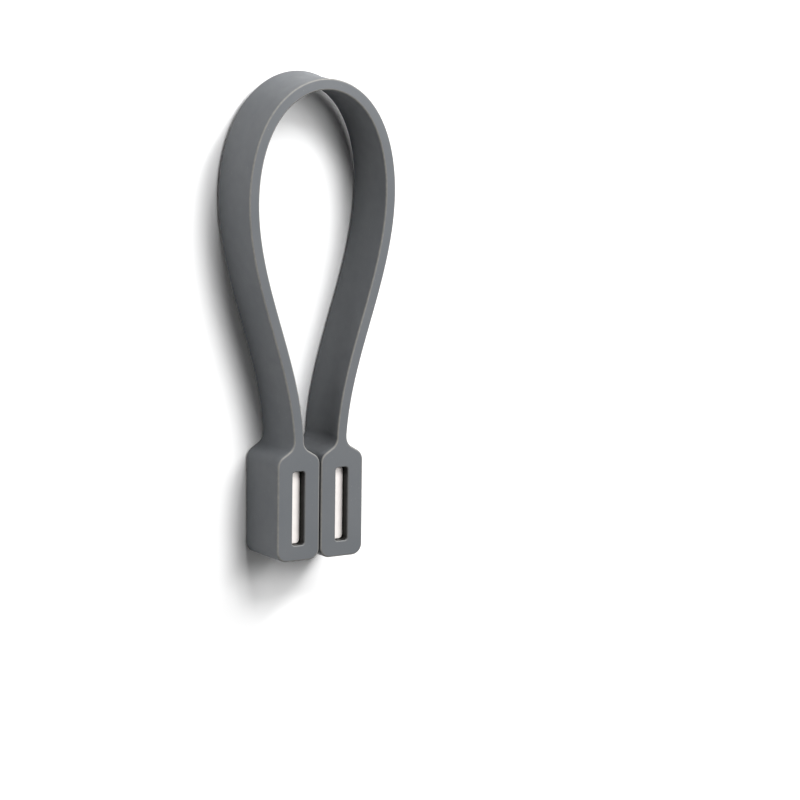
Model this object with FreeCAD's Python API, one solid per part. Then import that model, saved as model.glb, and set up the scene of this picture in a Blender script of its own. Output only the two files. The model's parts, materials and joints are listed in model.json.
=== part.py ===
import FreeCAD, Part
import math
import os

# Magnetic loop strap. One moulded silicone strap is bent over into a teardrop loop, and a
# block magnet in each of its two heads holds the heads side by side. The strap is divided
# into short links, so that hinges at its middle layer can stand for its bending.
#
# Frame: the loop lies on its back edges. +Z points out of the surface, +Y from the heads to
# the crown of the loop, and the origin is under the middle of the loop's bounding box.
# Lengths are in millimetres and angles in degrees, unless a name says otherwise.

# ---- strap ----
STRAP_WIDTH = 17.0           # along Z, the same for the heads
STRAP_THICKNESS = 3.1
HALF_LENGTH = 108.5          # middle layer, from the crown to a neck hinge

# Bending of the strap's middle layer, in degrees per millimetre, at distance u from the
# crown: CROWN_BEND - BEND_FALL * u, with a rounded extra of CROWN_EXTRA that fades to
# nothing at CROWN_EXTRA_REACH.
CROWN_BEND = 2.1934
BEND_FALL = 0.028573
CROWN_EXTRA = 1.3455
CROWN_EXTRA_REACH = 35.22
CURVE_STEP = 0.05

# ---- links ----
# Hinges are placed by their distance from the crown. Beside the crown they are close
# together, because the strap bends most there. The reverse bend above each head has one.
CROWN_LINK_LENGTH = 5.2
FIRST_LINK_LENGTH = 5.8
LINK_GROWTH = 0.765          # each link is this much longer than the one nearer the crown
CLOSE_LINKS = 7              # per side, before the long link that holds the inflection
REVERSE_HINGE = 95.0
NOTCH_SPARE = 0.4            # degrees a notch is wider than the turn that closes it
NOTCH_OVERRUN = 1.0
ARC_LENGTH = 12.0            # the longest stretch of the strap drawn as one arc

# ---- heads ----
HEAD_GAP = 0.4               # between the two closed heads
NECK_STUB = 2.25             # strap that belongs to the head, above the shoulders
SHOULDER_RISE = 3.05
HEAD_SIDE = 27.8             # straight side, from the bottom to the shoulder
BOTTOM_RADIUS = 3.0
SHOULDER_RADIUS = 3.2
NECK_RADIUS = 3.2

# ---- magnets and their pockets ----
MAGNET_LENGTH = 20.0         # along Y
MAGNET_THICKNESS = 3.6       # along X, towards the other head
MAGNET_HEIGHT = 10.0         # along Z
MAGNET_CORNER_RADIUS = 1.2
MAGNET_EDGE_RADIUS = 0.2
POCKET_CLEARANCE = 0.1       # each side
POCKET_CORNER_RADIUS = 0.8
POCKET_BOTTOM_WALL = 4.25    # silicone between the pocket and the head's bottom
MAGNET_RECESS = 2.5          # from the head's front face down to the magnet

HEAD_HEIGHT = HEAD_SIDE + SHOULDER_RISE + NECK_STUB
HALF_THICKNESS = STRAP_THICKNESS / 2
POCKET_DEPTH = MAGNET_RECESS + MAGNET_HEIGHT


def vector(x, y, z=0.0):
    return FreeCAD.Vector(x, y, z)


def bend(u):
    """Bending of the middle layer at distance u from the crown, in degrees per mm."""
    value = CROWN_BEND - BEND_FALL * u
    if u < CROWN_EXTRA_REACH:
        value += CROWN_EXTRA / 2 * (1 + math.cos(math.pi * u / CROWN_EXTRA_REACH))
    return value


def half_curve(u_end):
    """Point and downward turn of the right half at u_end, with the crown at (0, 0)."""
    steps = max(1, math.ceil(u_end / CURVE_STEP))
    step = u_end / steps
    x = y = turn = 0.0
    for index in range(steps):
        added = bend((index + 0.5) * step) * step
        middle = math.radians(turn + added / 2)
        x += math.cos(middle) * step
        y -= math.sin(middle) * step
        turn += added
    return x, y, turn


NECK_X, NECK_DROP, NECK_TURN = half_curve(HALF_LENGTH)
HEAD_WIDTH = 2 * NECK_X - HEAD_GAP
TOTAL_HEIGHT = HALF_THICKNESS - NECK_DROP + HEAD_HEIGHT
CROWN_Y = TOTAL_HEIGHT / 2 - HALF_THICKNESS
NECK_Y = CROWN_Y + NECK_DROP


def centreline(u):
    """Point and direction of the middle layer at u, which is 0 at the crown and grows
    towards the right neck."""
    x, y, turn = half_curve(abs(u))
    side = math.copysign(1.0, u)
    return vector(side * x, CROWN_Y + y), -side * turn


def outward(direction):
    """Unit vector across the strap, towards the outside of the loop."""
    angle = math.radians(direction + 90)
    return vector(math.cos(angle), math.sin(angle))


def hinge_distances():
    """Distances from the crown of one side's hinges, ending with the neck hinge."""
    distances = [CROWN_LINK_LENGTH / 2]
    for index in range(CLOSE_LINKS):
        distances.append(distances[-1] + FIRST_LINK_LENGTH + LINK_GROWTH * index)
    return distances + [REVERSE_HINGE, HALF_LENGTH]


DISTANCES = hinge_distances()
LINKS_PER_SIDE = len(DISTANCES) - 1


def right_hinges():
    """From the crown to the neck: each hinge's point, the strap's direction there, and the
    turn that puts the middles of its two links in line. It is negative in the reverse bend."""
    middles = [(a + b) / 2 for a, b in zip(DISTANCES, DISTANCES[1:])]
    directions = [0.0] + [centreline(u)[1] for u in middles] + [-90.0]
    rows = []
    for index, u in enumerate(DISTANCES):
        point, direction = centreline(u)
        rows.append((point, direction, directions[index] - directions[index + 1]))
    return rows


RIGHT_HINGES = right_hinges()


def prism(edges, height=STRAP_WIDTH):
    """Solid from closed edges in the plane Z = 0, raised by height."""
    face = Part.Face(Part.Wire(Part.__sortEdges__(edges)))
    return face.extrude(vector(0, 0, height))


def polygon_prism(points, height=STRAP_WIDTH):
    wire = Part.makePolygon(points + points[:1])
    return Part.Face(wire).extrude(vector(0, 0, height))


def notch(hinge):
    """Wedge, with its tip on the hinge's axis, that closes when the strap is straight."""
    point, direction, turn = hinge
    side = outward(direction)
    if turn < 0:
        side = side * -1
    reach = HALF_THICKNESS + NOTCH_OVERRUN
    half_angle = math.radians(abs(turn) / 2 + NOTCH_SPARE)
    along = vector(-side.y, side.x) * (reach * math.tan(half_angle))
    far = point + side * reach
    return polygon_prism([point, far + along, far - along])


def band_edges(u_start, u_end, side):
    """Arcs along one surface of the strap; side is 1 for the outer one and -1 for the inner."""
    count = math.ceil((u_end - u_start) / ARC_LENGTH)
    step = (u_end - u_start) / (2 * count)
    points = []
    for index in range(2 * count + 1):
        point, direction = centreline(u_start + index * step)
        points.append(point + outward(direction) * (side * HALF_THICKNESS))
    arcs = [Part.Arc(*points[i:i + 3]).toShape() for i in range(0, 2 * count, 2)]
    return arcs, points[0], points[-1]


def band(u_start, u_end):
    """The strap between two cuts square to its middle layer."""
    outer, outer_start, outer_end = band_edges(u_start, u_end, 1)
    inner, inner_start, inner_end = band_edges(u_start, u_end, -1)
    ends = [
        Part.LineSegment(outer_start, inner_start).toShape(),
        Part.LineSegment(outer_end, inner_end).toShape(),
    ]
    return prism(outer + inner + ends)


def crown_link():
    half = DISTANCES[0]
    right_notch = notch(RIGHT_HINGES[0])
    return band(-half, half).cut(right_notch).cut(mirrored(right_notch))


def right_link(index):
    """One link between two hinges, less its halves of their notches."""
    solid = band(DISTANCES[index], DISTANCES[index + 1])
    return solid.cut(notch(RIGHT_HINGES[index])).cut(notch(RIGHT_HINGES[index + 1]))


def upright_edges(shape, corners):
    """The edges along Z that stand on the given (x, y) corners."""
    found = []
    for edge in shape.Edges:
        middle = edge.BoundBox.Center
        if edge.BoundBox.ZLength < shape.BoundBox.ZLength / 2:
            continue
        if any(math.hypot(middle.x - x, middle.y - y) < 0.01 for x, y in corners):
            found.append(edge)
    return found


def head_outline_solid():
    """The right head, with its neck at the last hinge."""
    half = HEAD_WIDTH / 2
    bottom = NECK_Y - HEAD_HEIGHT
    shoulder = bottom + HEAD_SIDE
    neck = shoulder + SHOULDER_RISE
    tilt = HALF_THICKNESS * math.tan(math.radians(NECK_TURN - 90))
    outline = [
        (half, bottom), (half, shoulder), (HALF_THICKNESS, neck), (HALF_THICKNESS, NECK_Y - tilt),
        (-HALF_THICKNESS, NECK_Y + tilt), (-HALF_THICKNESS, neck), (-half, shoulder),
        (-half, bottom),
    ]
    solid = polygon_prism([vector(NECK_X + x, y) for x, y in outline])
    corner_groups = (
        (bottom, half, BOTTOM_RADIUS),
        (shoulder, half, SHOULDER_RADIUS),
        (neck, HALF_THICKNESS, NECK_RADIUS),
    )
    for y, x, radius in corner_groups:
        corners = [(NECK_X - x, y), (NECK_X + x, y)]
        solid = solid.makeFillet(radius, upright_edges(solid, corners))
    return solid


def rounded_block(length_x, length_y, height, radius):
    """A block about (0, 0), standing on Z = 0, with rounded upright edges."""
    block = Part.makeBox(length_x, length_y, height, vector(-length_x / 2, -length_y / 2))
    corners = [(x * length_x / 2, y * length_y / 2) for x in (-1, 1) for y in (-1, 1)]
    return block.makeFillet(radius, upright_edges(block, corners))


def magnet_place():
    """Middle of the right magnet's underside, which rests on the pocket's floor."""
    bottom = NECK_Y - HEAD_HEIGHT + POCKET_BOTTOM_WALL
    y = bottom + POCKET_CLEARANCE + MAGNET_LENGTH / 2
    return vector(NECK_X, y, STRAP_WIDTH - POCKET_DEPTH)


def right_head():
    pocket = rounded_block(
        MAGNET_THICKNESS + 2 * POCKET_CLEARANCE,
        MAGNET_LENGTH + 2 * POCKET_CLEARANCE,
        POCKET_DEPTH,
        POCKET_CORNER_RADIUS,
    )
    pocket.translate(magnet_place())
    return head_outline_solid().cut(pocket).cut(notch(RIGHT_HINGES[-1]))


def right_magnet():
    block = rounded_block(MAGNET_THICKNESS, MAGNET_LENGTH, MAGNET_HEIGHT, MAGNET_CORNER_RADIUS)
    rims = [edge for edge in block.Edges if edge.BoundBox.ZLength < 0.01]
    block = block.makeFillet(MAGNET_EDGE_RADIUS, rims)
    block.translate(magnet_place())
    return block


def mirrored(shape):
    """The same piece on the left side of the loop."""
    return shape.mirror(vector(0, 0), vector(1, 0))


def save(shape, name):
    if len(shape.Solids) != 1 or not shape.isValid():
        raise ValueError(name + " is not one valid solid")
    shape.Solids[0].exportStep("parts/" + name + ".step")


def save_pair(shape, name):
    save(shape, "right_" + name)
    save(mirrored(shape), "left_" + name)


def main():
    os.makedirs("parts", exist_ok=True)
    save_pair(right_head(), "head")
    save_pair(right_magnet(), "magnet")
    save(crown_link(), "strap_crown")
    for index in range(LINKS_PER_SIDE):
        save_pair(right_link(index), "strap_%02d" % (index + 1))


main()
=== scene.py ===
import json
import math

import bpy
from mathutils import Matrix, Vector
from mathutils.geometry import tessellate_polygon

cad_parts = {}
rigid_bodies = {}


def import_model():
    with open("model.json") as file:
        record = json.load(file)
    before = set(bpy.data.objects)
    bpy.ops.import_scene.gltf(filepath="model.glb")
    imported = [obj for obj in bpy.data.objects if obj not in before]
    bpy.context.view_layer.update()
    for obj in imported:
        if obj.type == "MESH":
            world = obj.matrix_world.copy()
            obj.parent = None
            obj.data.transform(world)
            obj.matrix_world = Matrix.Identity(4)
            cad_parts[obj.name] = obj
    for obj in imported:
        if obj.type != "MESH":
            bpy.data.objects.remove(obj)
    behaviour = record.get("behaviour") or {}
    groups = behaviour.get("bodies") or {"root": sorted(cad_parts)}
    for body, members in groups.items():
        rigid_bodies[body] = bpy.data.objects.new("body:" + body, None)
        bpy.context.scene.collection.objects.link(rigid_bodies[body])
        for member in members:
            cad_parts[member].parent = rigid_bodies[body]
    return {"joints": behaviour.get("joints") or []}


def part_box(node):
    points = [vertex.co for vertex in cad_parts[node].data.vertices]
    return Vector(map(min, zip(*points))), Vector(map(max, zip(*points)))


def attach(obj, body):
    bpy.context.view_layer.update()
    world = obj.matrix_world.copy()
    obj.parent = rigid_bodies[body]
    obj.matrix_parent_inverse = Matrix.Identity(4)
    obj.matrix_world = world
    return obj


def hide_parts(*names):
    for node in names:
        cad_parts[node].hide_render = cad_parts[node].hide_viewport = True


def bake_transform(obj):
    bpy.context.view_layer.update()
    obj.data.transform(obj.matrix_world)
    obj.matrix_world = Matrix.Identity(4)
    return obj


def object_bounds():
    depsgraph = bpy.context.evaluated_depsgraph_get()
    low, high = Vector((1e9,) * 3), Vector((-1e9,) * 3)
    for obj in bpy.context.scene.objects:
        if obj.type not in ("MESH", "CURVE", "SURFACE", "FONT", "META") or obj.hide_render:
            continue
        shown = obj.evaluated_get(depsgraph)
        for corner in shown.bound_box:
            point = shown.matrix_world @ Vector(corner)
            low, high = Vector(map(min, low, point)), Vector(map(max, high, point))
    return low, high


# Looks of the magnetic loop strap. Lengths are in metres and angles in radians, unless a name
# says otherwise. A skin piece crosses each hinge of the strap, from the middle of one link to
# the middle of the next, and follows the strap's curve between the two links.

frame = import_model()
cad_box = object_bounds()

MM = 0.001

# ---- strap, the same law of bending as the CAD source ----
HALF_THICKNESS = 3.1 * MM / 2
HALF_WIDTH = (cad_box[1].z - cad_box[0].z) / 2
CROWN_BEND_DEG = 2.1934              # degrees per millimetre, as the three values below
BEND_FALL_DEG = 0.028573
CROWN_EXTRA_DEG = 1.3455
CROWN_EXTRA_REACH_MM = 35.22
CURVE_STEP_MM = 0.05
CURVE_LENGTH_MM = 108.5

# ---- skin of the strap ----
RIM_RADIUS = 0.5 * MM                # rounding along the front and back edges
RIM_STEPS = 6
SIDE_STEPS = 16                      # across the strap's width
EDGE_STEPS = 4                       # across the strap's thickness
SECTION_SPACING = 0.5 * MM
SADDLE_DEPTH = 0.45 * MM             # how far the middle of the width sinks at the crown
SADDLE_POWER = 2.5
SADDLE_FADE_START_MM = 80.0
SADDLE_FADE_END_MM = 105.0

# ---- heads ----
HEAD_SIDE = 27.8 * MM                # from the bottom to the shoulder
SHOULDER_RISE = 3.05 * MM
BOTTOM_RADIUS = 3.0 * MM
SHOULDER_RADIUS = 3.2 * MM
NECK_RADIUS = 3.2 * MM
ARC_STEP = math.radians(6)
LIP_RADIUS = 0.3 * MM                # rounding where the pocket opens in the front face
LIP_STEPS = 3
LIP_WEAR_AND_HIGHLIGHT = 0.5                        # how pale the lip's rim is at most, partly wear and partly a painted highlight
POCKET_CLEARANCE = 0.1 * MM
POCKET_CORNER_RADIUS = 0.8 * MM
POCKET_SHADE_MARK = -1.0                    # the value of a point on a pocket's walls, which get painted shade
SHADE_DEPTH = 0.4 * MM               # from the lip down to where the painted shade on the walls is full
MAGNET_CORNER_RADIUS = 1.2 * MM
MAGNET_EDGE_RADIUS = 0.2 * MM
MAGNET_EDGE_STEPS = 4

# ---- camera, straight above the loop before it is swung to the left and up ----
VIEW_LEFT_DEG = 31.3
VIEW_UP_DEG = 11.5
VIEW_TURN_DEG = 0.805                # anticlockwise, seen from above
VIEW_DISTANCE = 2.2168
VIEW_AIM = (29.895 * MM, -26.012 * MM)
LENS_MM = 368.3
SENSOR_MM = 36.0
CLIP_END = 20.0

# ---- silicone: linear colours, noise scales per metre ----
SILICONE = (0.103, 0.11, 0.118)
SILICONE_PALE = (0.111, 0.117, 0.124)
# pale rims along the edges: partly wear, partly a painted highlight
SILICONE_RIM_WEAR_AND_HIGHLIGHT = (0.24, 0.23, 0.21)
# painted shade on the walls of the magnet pockets
SILICONE_POCKET_SHADE = (0.013, 0.012, 0.01)
SILICONE_DUST = (0.42, 0.42, 0.41)
SILICONE_ROUGHNESS = (0.56, 0.68)
SILICONE_IOR = 1.41
SILICONE_SPECULAR = 0.4
CLOUD_SCALE = 70
WEAR_AND_HIGHLIGHT_SCALE = 900
WEAR_AND_HIGHLIGHT_SHARE = (0.45, 0.85)            # of the pale rim colour in a rim: partly wear, partly a painted highlight
POCKET_SHADE_SHARE = 0.9                   # of the painted shade's colour in a pocket
SPECK_SCALE = 2600
SPECK_CUT = (0.77, 0.83)             # only the peaks of the noise are specks
SPECK_SHARE = 0.5
SATIN_SCALE = 300
GRAIN_SCALE = 9000
GRAIN_DEPTH = 0.01 * MM
GRAIN_STRENGTH = 0.35
RELIEF_SCALE = 1400
RELIEF_DEPTH = 0.02 * MM
RELIEF_STRENGTH = 0.25

# ---- nickel plating ----
NICKEL = (0.98, 0.93, 0.9)
NICKEL_WARM = (0.94, 0.89, 0.86)
NICKEL_ROUGHNESS = (0.32, 0.4)
NICKEL_METALLIC = 0.35
TARNISH_SCALE = 500
RUB_SCALE = 1800
PEEL_SCALE = 2500
PEEL_DEPTH = 0.01 * MM
PEEL_STRENGTH = 0.3

# ---- floor and light ----
FLOOR_SIDE = 6.0
FLOOR_DROP = 1.0 * MM                # the floor slopes down by this much below the crown
FLOOR_GREY = (0.925, 0.925, 0.925)
FLOOR_PALE = (0.94, 0.94, 0.94)
FLOOR_SCALE = 12
FLOOR_ROUGHNESS = 0.9
FLOOR_SPECULAR = 0.1
WORLD_STRENGTH = 0.02
SOFTBOX_DISTANCE = 0.95
# Azimuth and elevation in degrees, side of the square, power in watts. Azimuth turns from +Y
# towards +X.
SOFTBOXES = {
    "key_low": (40, 22, 0.26, 9.1),
    "key_middle": (40, 60, 0.26, 3.1),
    "key_high": (40, 74, 0.26, 2.2),
    "crown_near": (20, 48, 0.26, 2.85),
    "crown": (0, 48, 0.26, 4.2),
    "fill_left": (270, 10, 0.26, 2.05),
    "magnet_glow": (111, 64, 0.5, 0.85),
}

# Where most values of a noise lie, narrowly and widely.
NOISE_CORE = (0.35, 0.65)
NOISE_SPREAD = (0.3, 0.7)

# Sockets of a Mix node that are used for colours.
MIX_A, MIX_B, MIX_RESULT = 6, 7, 2


# ---------------------------------------------------------------- the strap's middle layer

def bend_deg(u_mm):
    """Bending of the middle layer at a distance from the crown, in degrees per millimetre."""
    value = CROWN_BEND_DEG - BEND_FALL_DEG * u_mm
    if u_mm < CROWN_EXTRA_REACH_MM:
        value += CROWN_EXTRA_DEG / 2 * (1 + math.cos(math.pi * u_mm / CROWN_EXTRA_REACH_MM))
    return value


def walk_curve():
    """Rows of x, y and turn of the right half, a step apart, with the crown at (0, 0)."""
    rows = [(0.0, 0.0, 0.0)]
    for index in range(round(CURVE_LENGTH_MM / CURVE_STEP_MM)):
        x, y, turn = rows[-1]
        added = math.radians(bend_deg((index + 0.5) * CURVE_STEP_MM) * CURVE_STEP_MM)
        middle = turn + added / 2
        step = CURVE_STEP_MM * MM
        rows.append((x + math.cos(middle) * step, y - math.sin(middle) * step, turn + added))
    return rows


CURVE = walk_curve()
CROWN_Y = cad_box[1].y - HALF_THICKNESS


def curve_at(u):
    """x, y and downward turn of the right half at u metres from the crown."""
    place = u / (CURVE_STEP_MM * MM)
    index = min(int(place), len(CURVE) - 2)
    share = place - index
    x, y, turn = (a + (b - a) * share for a, b in zip(CURVE[index], CURVE[index + 1]))
    return x, CROWN_Y + y, turn


def distance_along(x, y):
    """Distance from the crown of the point on the right half nearest to (x, y)."""
    gaps = [math.hypot(row[0] - x, CROWN_Y + row[1] - y) for row in CURVE]
    return gaps.index(min(gaps)) * CURVE_STEP_MM * MM


# ---------------------------------------------------------------- meshes

def smoothstep(value, low, high):
    share = min(1.0, max(0.0, (value - low) / (high - low)))
    return share * share * (3 - 2 * share)


class Shell:
    """A closed piece: its points, how pale a rim each point is, partly wear and partly a painted
    highlight (-1 is painted shade deep in a pocket), and its faces with the normal at each of
    their corners."""

    def __init__(self):
        self.points = []
        self.wear_highlight_and_shade_values = []
        self.faces = []
        self.normals = []

    def ring(self, points, wear_highlight_and_shade_values=None):
        first = len(self.points)
        self.points += [Vector(p) for p in points]
        self.wear_highlight_and_shade_values += list(wear_highlight_and_shade_values) if wear_highlight_and_shade_values else [0.0] * len(points)
        return list(range(first, first + len(points)))

    def face(self, corners, normals):
        a, b, c = (self.points[i] for i in corners[:3])
        crossed = (b - a).cross(c - b)
        if crossed.dot(normals[0] + normals[1] + normals[2]) < 0:
            corners, normals = corners[::-1], normals[::-1]
        self.faces.append(corners)
        self.normals += normals

    def wall(self, ring_a, normals_a, ring_b, normals_b, closed=True):
        """Quads between two rings. An open wall has none from the rings' last point to
        their first."""
        count = len(ring_a)
        for i in range(count if closed else count - 1):
            j = (i + 1) % count
            self.face(
                [ring_a[i], ring_a[j], ring_b[j], ring_b[i]],
                [normals_a[i], normals_a[j], normals_b[j], normals_b[i]],
            )

    def cap(self, rings, normal):
        """A flat face inside the first ring and outside the others."""
        normal = Vector(normal)
        flat = [index for ring in rings for index in ring]
        outlines = [[self.points[i] for i in ring] for ring in rings]
        for triangle in tessellate_polygon(outlines):
            self.face([flat[i] for i in triangle], [normal] * 3)

    def fan(self, ring, normal):
        """A flat face across a ring, from its middle."""
        middle = sum((self.points[i] for i in ring), Vector()) / len(ring)
        centre = self.ring([middle])[0]
        for a, b in zip(ring, ring[1:] + ring[:1]):
            self.face([a, b, centre], [normal] * 3)

    def finish(self, name, material):
        mesh = bpy.data.meshes.new(name)
        mesh.from_pydata([tuple(p) for p in self.points], [], self.faces)
        mesh.polygons.foreach_set("use_smooth", [True] * len(mesh.polygons))
        mesh.attributes.new("wear_highlight_and_shade", "FLOAT", "POINT").data.foreach_set("value", self.wear_highlight_and_shade_values)
        mesh.normals_split_custom_set([tuple(n.normalized()) for n in self.normals])
        mesh.update()
        mesh.materials.append(material)
        piece = bpy.data.objects.new(name, mesh)
        bpy.context.scene.collection.objects.link(piece)
        return piece


def rounded_outline(corners, closed=True):
    """Points and outward normals of an outline. A corner is (x, y, radius), in anticlockwise
    order. An open outline starts at its first corner and ends at its last, unrounded."""
    rows = []
    count = len(corners)
    for index, (x, y, radius) in enumerate(corners):
        here = Vector((x, y))
        before = (here - Vector(corners[index - 1][:2])).normalized()
        after = (Vector(corners[(index + 1) % count][:2]) - here).normalized()
        side_before = Vector((before.y, -before.x))
        side_after = Vector((after.y, -after.x))
        if not closed and index in (0, count - 1):
            rows.append((here, side_after if index == 0 else side_before))
            continue
        turn = math.atan2(before.cross(after), before.dot(after))
        sign = math.copysign(1.0, turn)
        start = here - before * (radius * math.tan(abs(turn) / 2))
        centre = start - side_before * (radius * sign)
        steps = max(2, math.ceil(abs(turn) / ARC_STEP))
        for step in range(steps + 1):
            angle = turn * step / steps
            normal = Matrix.Rotation(angle, 2) @ side_before
            rows.append((centre + normal * (radius * sign), normal))
    return rows


# ---------------------------------------------------------------- skin of the strap

def flat_section():
    """Points round the strap's section: (across, up, normal across, normal up, rim). The rim
    value is how pale the rounded edge is, partly wear and partly a painted highlight.
    Across runs from the inside of the loop to the outside, up from the back edge to the front."""
    rows = []
    straight = HALF_WIDTH - RIM_RADIUS
    level = HALF_THICKNESS - RIM_RADIUS
    for index in range(SIDE_STEPS + 1):
        rows.append((HALF_THICKNESS, straight * (2 * index / SIDE_STEPS - 1), 1.0, 0.0, 0.0))
    for index in range(1, RIM_STEPS):
        angle = math.pi / 2 * index / RIM_STEPS
        # paleness of the rim, partly wear and partly a painted highlight, greatest midway round
        # the rounding
        wear_highlight_and_shade = math.sin(2 * angle)
        across, up = math.cos(angle), math.sin(angle)
        rows.append((level + RIM_RADIUS * across, straight + RIM_RADIUS * up, across, up, wear_highlight_and_shade))
    for index in range(EDGE_STEPS + 1):
        rows.append((level * (1 - 2 * index / EDGE_STEPS), HALF_WIDTH, 0.0, 1.0, 0.0))
    corner = rows[SIDE_STEPS + 1:SIDE_STEPS + RIM_STEPS]
    rows += [(-a, u, -na, nu, wear_highlight_and_shade) for a, u, na, nu, wear_highlight_and_shade in reversed(corner)]
    return rows + [(-a, -u, -na, -nu, wear_highlight_and_shade) for a, u, na, nu, wear_highlight_and_shade in rows]


SECTION = flat_section()


def saddle_depth(u):
    """How far the middle of the strap's width sinks towards the inside of the bend at u."""
    u_mm = u / MM
    fade = 1 - smoothstep(u_mm, SADDLE_FADE_START_MM, SADDLE_FADE_END_MM)
    return SADDLE_DEPTH * bend_deg(u_mm) / bend_deg(0) * fade


def bent_section(u):
    """The section at u, with the strap's edges curled outward by its bending."""
    depth = saddle_depth(u)
    edge_slope = math.atan(depth * SADDLE_POWER / HALF_WIDTH)
    squeeze = HALF_WIDTH / (HALF_WIDTH + HALF_THICKNESS * math.sin(abs(edge_slope)))
    rows = []
    for across, up, normal_across, normal_up, wear_highlight_and_shade in SECTION:
        share = up / HALF_WIDTH
        sunk = -depth * (1 - abs(share) ** SADDLE_POWER)
        slope = depth * SADDLE_POWER * abs(share) ** (SADDLE_POWER - 1) / HALF_WIDTH
        tilt = math.atan(math.copysign(slope, share))
        sine, cosine = math.sin(tilt), math.cos(tilt)
        rows.append((
            sunk + across * cosine,
            HALF_WIDTH + (up - across * sine) * squeeze,
            normal_across * cosine + normal_up * sine,
            normal_up * cosine - normal_across * sine,
            wear_highlight_and_shade,
        ))
    return rows


def section_ring(shell, u, side, level_y=None):
    """Adds the section at u of the right (side 1) or left (side -1) half. With a level_y it
    lies level at that height, as the top of a head does."""
    x, y, turn = curve_at(u)
    if level_y is not None:
        y, turn = level_y, math.pi / 2
    outward = Vector((side * math.sin(turn), math.cos(turn), 0))
    centre = Vector((side * x, y, cad_box[0].z))
    rows = bent_section(u)
    points = [centre + outward * row[0] + Vector((0, 0, row[1])) for row in rows]
    normals = [outward * row[2] + Vector((0, 0, row[3])) for row in rows]
    return shell.ring(points, [row[4] for row in rows]), normals


def tangent(u, side):
    turn = curve_at(u)[2]
    return Vector((side * math.cos(turn), -math.sin(turn), 0))


def skin(name, u_start, u_end, side, level_y, material):
    """The strap from u_start to u_end, closed at both ends. A level_y levels its last end."""
    shell = Shell()
    count = max(2, math.ceil((u_end - u_start) / SECTION_SPACING))
    rings = []
    for index in range(count):
        rings.append(section_ring(shell, u_start + (u_end - u_start) * index / count, side))
    rings.append(section_ring(shell, u_end, side, level_y))
    for (ring_a, normals_a), (ring_b, normals_b) in zip(rings, rings[1:]):
        shell.wall(ring_a, normals_a, ring_b, normals_b)
    shell.fan(rings[0][0], -tangent(u_start, side))
    shell.fan(rings[-1][0], tangent(u_end, side))
    return shell.finish(name, material)


def chain_of(side_name):
    """The hinges of one side from the crown to the head, as the record gives them."""
    found = [j for j in frame["joints"] if j["name"].startswith(side_name)]
    ordered = []
    parent = "strap_crown"
    while found:
        joint = next(j for j in found if j["parent"] == parent)
        found.remove(joint)
        ordered.append(joint)
        parent = joint["child"]
    return ordered


def make_skins(side_name, side, material):
    joints = chain_of(side_name)
    hinges = [distance_along(abs(j["pos_m"][0]), j["pos_m"][1]) for j in joints]
    hinges[-1] = CURVE_LENGTH_MM * MM    # the neck hinge ends the curve
    middles = [(a + b) / 2 for a, b in zip(hinges, hinges[1:])]
    cuts = [0.0] + middles + [hinges[-1]]
    head_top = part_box(side_name + "_head")[1].y
    for index, joint in enumerate(joints):
        u_start, u_end = cuts[index:index + 2]
        last = index == len(joints) - 1
        name = f"{side_name}_skin_{index + 1:02d}"
        piece = skin(name, u_start, u_end, side, head_top if last else None, material)
        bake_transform(piece)
        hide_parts(*[n for n in (joint["parent"], joint["child"]) if "head" not in n])


# ---------------------------------------------------------------- heads and magnets

def head_outline(box):
    """The head seen from the front, about its own middle, anticlockwise from the neck's left."""
    half = (box[1].x - box[0].x) / 2
    middle = (box[0].x + box[1].x) / 2
    top, bottom = box[1].y, box[0].y
    shoulder = bottom + HEAD_SIDE
    neck = shoulder + SHOULDER_RISE
    left = [
        (-HALF_THICKNESS, top, 0), (-HALF_THICKNESS, neck, NECK_RADIUS),
        (-half, shoulder, SHOULDER_RADIUS), (-half, bottom, BOTTOM_RADIUS),
    ]
    corners = left + [(-x, y, radius) for x, y, radius in reversed(left)]
    return rounded_outline([(middle + x, y, radius) for x, y, radius in corners], closed=False)


def box_outline(low, high, margin, radius):
    x0, y0, x1, y1 = low.x - margin, low.y - margin, high.x + margin, high.y + margin
    corners = ((x0, y0), (x1, y0), (x1, y1), (x0, y1))
    return rounded_outline([(x, y, radius) for x, y in corners])


def level_ring(shell, outline, inset, height, wear_highlight_and_shade=0.0):
    """A ring at one height, moved inward from the outline by inset."""
    points = [(*(point - normal * inset), height) for point, normal in outline]
    return shell.ring(points, [wear_highlight_and_shade] * len(points))


def tilted(outline, angle):
    """Normals of an outline's wall, tilted up by angle."""
    flat, up = math.cos(angle), math.sin(angle)
    return [Vector((*(normal * flat), up)) for _, normal in outline]


def rim_levels(radius, steps, top, bottom):
    """(inset, height, tilt, rim) rows of a wall with rounded rims, from its foot to its top. The
    rim value makes the roundings pale, partly wear and partly a painted highlight.
    """
    rows = []
    for index in range(2 * steps + 2):
        share = index if index <= steps else index - 1
        angle = math.pi / 2 * (share / steps - 1)
        height = (bottom + radius if index <= steps else top - radius) + radius * math.sin(angle)
        rows.append((radius * (1 - math.cos(angle)), height, angle, abs(math.sin(2 * angle))))
    return rows


def stack(shell, outline, levels, closed=True):
    """Walls between the levels. Gives the rings."""
    rings = []
    for inset, height, angle, wear_highlight_and_shade in levels:
        rings.append((level_ring(shell, outline, inset, height, wear_highlight_and_shade), tilted(outline, angle)))
    for (ring_a, normals_a), (ring_b, normals_b) in zip(rings, rings[1:]):
        shell.wall(ring_a, normals_a, ring_b, normals_b, closed)
    return [ring for ring, _ in rings]


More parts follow.
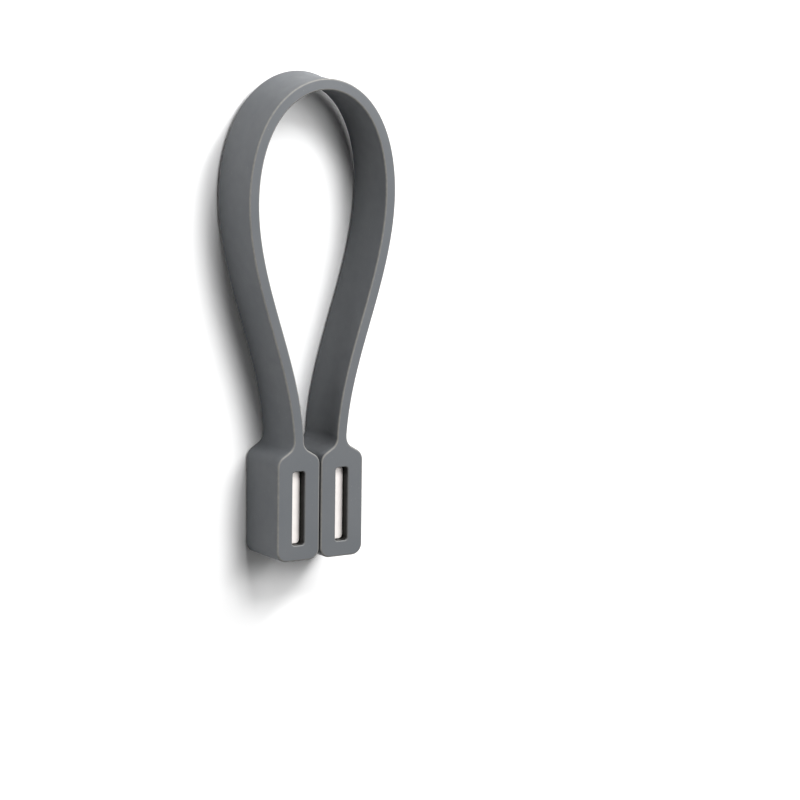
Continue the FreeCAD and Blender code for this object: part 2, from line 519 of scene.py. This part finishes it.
def pocket_levels(front, floor):
    """(inset, height, tilt, rim) rows of a pocket, from its lip down to its floor. The lip gets
    a pale rim, partly wear and partly a painted highlight; the walls below it get painted shade.
    """
    rows = []
    for index in range(LIP_STEPS + 1):
        angle = math.pi / 2 * (1 - index / LIP_STEPS)
        height = front - LIP_RADIUS * (1 - math.sin(angle))
        wear_highlight_and_shade = LIP_WEAR_AND_HIGHLIGHT * math.sin(2 * angle)
        rows.append((LIP_RADIUS * (1 - math.cos(angle)), height, angle, wear_highlight_and_shade))
    # the walls below the lip get painted shade
    rows.append((0.0, front - LIP_RADIUS - SHADE_DEPTH, 0.0, POCKET_SHADE_MARK))
    rows.append((0.0, floor, 0.0, POCKET_SHADE_MARK))
    return rows


def make_head(side_name, material):
    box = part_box(side_name + "_head")
    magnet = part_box(side_name + "_magnet")
    shell = Shell()
    outline = head_outline(box)
    levels = rim_levels(RIM_RADIUS, RIM_STEPS, box[1].z, box[0].z)
    rings = stack(shell, outline, levels, closed=False)
    shell.cap([[ring[0] for ring in rings] + [ring[-1] for ring in reversed(rings)]], (0, 1, 0))
    pocket = box_outline(*magnet, POCKET_CLEARANCE, POCKET_CORNER_RADIUS)
    inward = [(point, -normal) for point, normal in pocket]
    pocket_rings = stack(shell, inward, pocket_levels(box[1].z, magnet[0].z))
    shell.cap([rings[-1], pocket_rings[0]], (0, 0, 1))
    shell.cap([rings[0]], (0, 0, -1))
    shell.cap([pocket_rings[-1]], (0, 0, 1))
    piece = shell.finish(side_name + "_head_shell", material)
    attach(piece, side_name + "_head")
    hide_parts(side_name + "_head")


def make_magnet(side_name, material):
    low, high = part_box(side_name + "_magnet")
    shell = Shell()
    outline = box_outline(low, high, 0.0, MAGNET_CORNER_RADIUS)
    levels = rim_levels(MAGNET_EDGE_RADIUS, MAGNET_EDGE_STEPS, high.z, low.z)
    rings = stack(shell, outline, levels)
    shell.cap([rings[-1]], (0, 0, 1))
    shell.cap([rings[0]], (0, 0, -1))
    piece = shell.finish(side_name + "_magnet_block", material)
    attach(piece, side_name + "_head")
    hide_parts(side_name + "_magnet")


# ---------------------------------------------------------------- materials

class Nodes:
    """A node material and short calls that add and join its nodes."""

    def __init__(self, name):
        self.material = bpy.data.materials.new(name)
        self.material.use_nodes = True
        self.tree = self.material.node_tree
        self.shader = self.tree.nodes["Principled BSDF"]
        self.place = self.add("ShaderNodeTexCoord").outputs["Object"]

    def add(self, kind, **settings):
        node = self.tree.nodes.new(kind)
        for name, value in settings.items():
            setattr(node, name, value)
        return node

    def join(self, source, target):
        self.tree.links.new(source, target)

    def noise(self, scale, detail=2):
        node = self.add("ShaderNodeTexNoise")
        node.inputs["Scale"].default_value = scale
        node.inputs["Detail"].default_value = detail
        self.join(self.place, node.inputs["Vector"])
        return node.outputs["Fac"]

    def spread(self, source, span, target):
        """Maps a range of values to another one, clamped."""
        node = self.add("ShaderNodeMapRange")
        for name, value in zip(("From Min", "From Max", "To Min", "To Max"), span + target):
            node.inputs[name].default_value = value
        self.join(source, node.inputs["Value"])
        return node.outputs["Result"]

    def mix(self, share, a, b):
        """Mixes two colours, each a tuple or a socket."""
        node = self.add("ShaderNodeMix", data_type="RGBA")
        self.join(share, node.inputs["Factor"])
        for socket, value in ((node.inputs[MIX_A], a), (node.inputs[MIX_B], b)):
            if isinstance(value, tuple):
                socket.default_value = (*value, 1)
            else:
                self.join(value, socket)
        return node.outputs[MIX_RESULT]

    def multiply(self, a, b):
        node = self.add("ShaderNodeMath", operation="MULTIPLY")
        self.join(a, node.inputs[0])
        self.join(b, node.inputs[1])
        return node.outputs[0]

    def bump(self, height, distance, strength, below=None):
        node = self.add("ShaderNodeBump")
        node.inputs["Distance"].default_value = distance
        node.inputs["Strength"].default_value = strength
        self.join(height, node.inputs["Height"])
        if below:
            self.join(below, node.inputs["Normal"])
        return node.outputs["Normal"]

    def set(self, **values):
        for name, value in values.items():
            self.shader.inputs[name.replace("_", " ")].default_value = value


def silicone_material():
    """Matte moulded silicone: a fine satin grain, faint clouds of colour, a few specks of dust,
    paler rims along the edges, partly wear where the mould parts and partly a painted highlight,
    and painted shade on the walls of the pockets."""
    n = Nodes("matte_silicone")
    clouds = n.spread(n.noise(CLOUD_SCALE, detail=3), NOISE_CORE, (0, 1))
    colour = n.mix(clouds, SILICONE, SILICONE_PALE)
    wear_highlight_and_shade = n.add("ShaderNodeAttribute", attribute_name="wear_highlight_and_shade").outputs["Fac"]
    # pale rims, partly wear and partly a painted highlight, made patchy by noise
    worn_and_highlit = n.spread(n.noise(WEAR_AND_HIGHLIGHT_SCALE, detail=3), NOISE_SPREAD, WEAR_AND_HIGHLIGHT_SHARE)
    colour = n.mix(n.multiply(n.spread(wear_highlight_and_shade, (0, 1), (0, 1)), worn_and_highlit), colour, SILICONE_RIM_WEAR_AND_HIGHLIGHT)
    # painted shade on the pocket walls, full from just below the lip down to the floor
    colour = n.mix(n.spread(wear_highlight_and_shade, (0, POCKET_SHADE_MARK), (0, POCKET_SHADE_SHARE)), colour, SILICONE_POCKET_SHADE)
    specks = n.spread(n.noise(SPECK_SCALE, detail=1), SPECK_CUT, (0, SPECK_SHARE))
    n.join(n.mix(specks, colour, SILICONE_DUST), n.shader.inputs["Base Color"])
    satin = n.spread(n.noise(SATIN_SCALE, detail=4), NOISE_SPREAD, SILICONE_ROUGHNESS)
    n.join(satin, n.shader.inputs["Roughness"])
    grain = n.bump(n.noise(GRAIN_SCALE, detail=2), GRAIN_DEPTH, GRAIN_STRENGTH)
    relief = n.bump(n.noise(RELIEF_SCALE, detail=3), RELIEF_DEPTH, RELIEF_STRENGTH, grain)
    n.join(relief, n.shader.inputs["Normal"])
    n.set(IOR=SILICONE_IOR, Specular_IOR_Level=SILICONE_SPECULAR)
    return n.material


def nickel_material():
    """Satin nickel plating with a faint orange peel and rubbing."""
    n = Nodes("nickel_plating")
    tarnish = n.spread(n.noise(TARNISH_SCALE, detail=3), NOISE_CORE, (0, 1))
    n.join(n.mix(tarnish, NICKEL, NICKEL_WARM), n.shader.inputs["Base Color"])
    rubbed = n.spread(n.noise(RUB_SCALE, detail=4), NOISE_SPREAD, NICKEL_ROUGHNESS)
    n.join(rubbed, n.shader.inputs["Roughness"])
    peel = n.bump(n.noise(PEEL_SCALE, detail=3), PEEL_DEPTH, PEEL_STRENGTH)
    n.join(peel, n.shader.inputs["Normal"])
    n.set(Metallic=NICKEL_METALLIC)
    return n.material


def floor_material():
    n = Nodes("studio_floor")
    clouds = n.spread(n.noise(FLOOR_SCALE), NOISE_SPREAD, (0, 1))
    n.join(n.mix(clouds, FLOOR_GREY, FLOOR_PALE), n.shader.inputs["Base Color"])
    n.set(Roughness=FLOOR_ROUGHNESS, Specular_IOR_Level=FLOOR_SPECULAR)
    return n.material


# ---------------------------------------------------------------- studio

def make_floor():
    mesh = bpy.data.meshes.new("studio_floor")
    half = FLOOR_SIDE / 2
    slope = FLOOR_DROP / (cad_box[1].y - cad_box[0].y)
    corners = []
    for x, y in ((-half, -half), (half, -half), (half, half), (-half, half)):
        corners.append((x, y, cad_box[0].z - (y - cad_box[0].y) * slope))
    mesh.from_pydata(corners, [], [(0, 1, 2, 3)])
    mesh.materials.append(floor_material())
    floor = bpy.data.objects.new("studio_floor", mesh)
    bpy.context.scene.collection.objects.link(floor)


def softbox(name, azimuth_deg, elevation_deg, side, power):
    """A square softbox, aimed at the strap."""
    azimuth, elevation = math.radians(azimuth_deg), math.radians(elevation_deg)
    level = math.cos(elevation)
    towards = Vector((math.sin(azimuth) * level, math.cos(azimuth) * level, math.sin(elevation)))
    light = bpy.data.lights.new(name, "AREA")
    light.shape = "SQUARE"
    light.size = side
    light.energy = power
    lamp = bpy.data.objects.new(name, light)
    lamp.location = towards * SOFTBOX_DISTANCE
    lamp.rotation_mode = "QUATERNION"
    lamp.rotation_quaternion = (-towards).to_track_quat("-Z", "Y")
    bpy.context.scene.collection.objects.link(lamp)


def make_light():
    world = bpy.data.worlds.new("studio")
    world.use_nodes = True
    background = world.node_tree.nodes["Background"]
    background.inputs["Color"].default_value = (1, 1, 1, 1)
    background.inputs["Strength"].default_value = WORLD_STRENGTH
    bpy.context.scene.world = world
    for name, values in SOFTBOXES.items():
        softbox(name, *values)


def make_camera():
    left, up, turn = (math.radians(a) for a in (VIEW_LEFT_DEG, VIEW_UP_DEG, VIEW_TURN_DEG))
    back = Vector((-math.sin(left) * math.cos(up), math.sin(up), math.cos(left) * math.cos(up)))
    right = Vector((math.cos(left), 0, math.sin(left)))
    axes = Matrix((right, back.cross(right), back)).transposed()
    axes = Matrix.Rotation(turn, 3, "Z") @ axes
    data = bpy.data.cameras.new("camera")
    data.lens = LENS_MM
    data.sensor_width = SENSOR_MM
    data.clip_end = CLIP_END
    camera = bpy.data.objects.new("camera", data)
    camera.rotation_mode = "QUATERNION"
    camera.rotation_quaternion = axes.to_quaternion()
    camera.location = Vector((*VIEW_AIM, HALF_WIDTH)) + axes.col[2] * VIEW_DISTANCE
    bpy.context.scene.collection.objects.link(camera)
    bpy.context.scene.camera = camera


def main():
    silicone = silicone_material()
    nickel = nickel_material()
    for side_name, side in (("left", -1), ("right", 1)):
        make_skins(side_name, side, silicone)
        make_head(side_name, silicone)
        make_magnet(side_name, nickel)
    make_floor()
    make_light()
    make_camera()
    bpy.context.scene.view_settings.view_transform = "Standard"


main()
